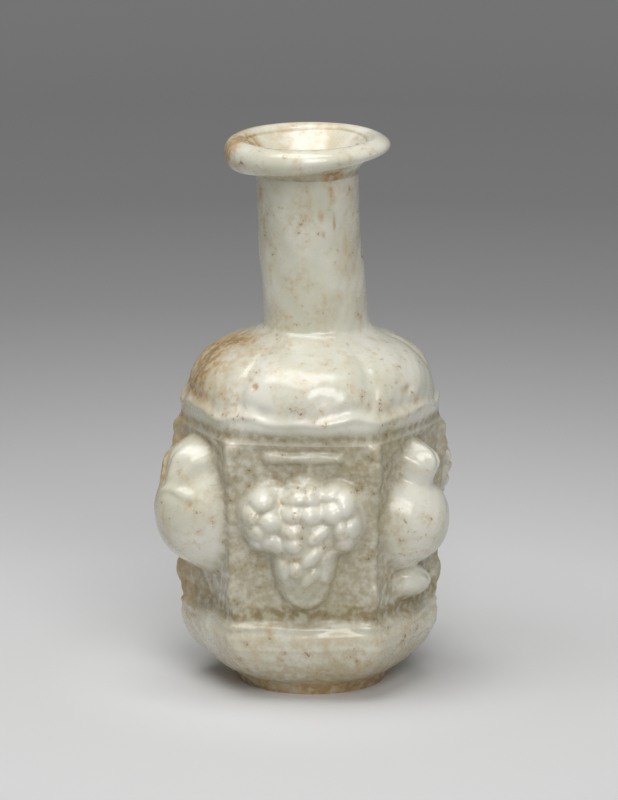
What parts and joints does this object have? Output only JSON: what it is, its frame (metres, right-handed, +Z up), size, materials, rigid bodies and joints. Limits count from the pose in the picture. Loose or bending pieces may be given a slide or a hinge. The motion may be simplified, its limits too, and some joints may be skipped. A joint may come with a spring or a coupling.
{
  "type": "bottle",
  "caption": "Small hexagonal bottle of opaque white glass with fruit in relief on its side panels, a tall round neck and a folded lip.",
  "frame": {"origin": "centre of the flat base, on the surface the bottle stands on", "axes": "+Z up through the mouth, -Y towards the panel with the bunch of grapes, +X to its right"},
  "size_m": [0.0435, 0.0439, 0.0788],
  "materials": {
    "white_glass": "opaque white glass, softly glossy, with tan and brown weathering in its hollows"
  },
  "bodies": {
    "root": {"base_disc": "white_glass", "underside": "white_glass", "lower_moulding": "white_glass", "panel_grapes": "white_glass", "panel_pomegranate": "white_glass", "panel_pine_cone": "white_glass", "panel_grapes_rear": "white_glass", "panel_quince": "white_glass", "panel_citron": "white_glass", "cornice": "white_glass", "shoulder": "white_glass", "neck": "white_glass", "lip": "white_glass"}
  },
  "joints": []
}
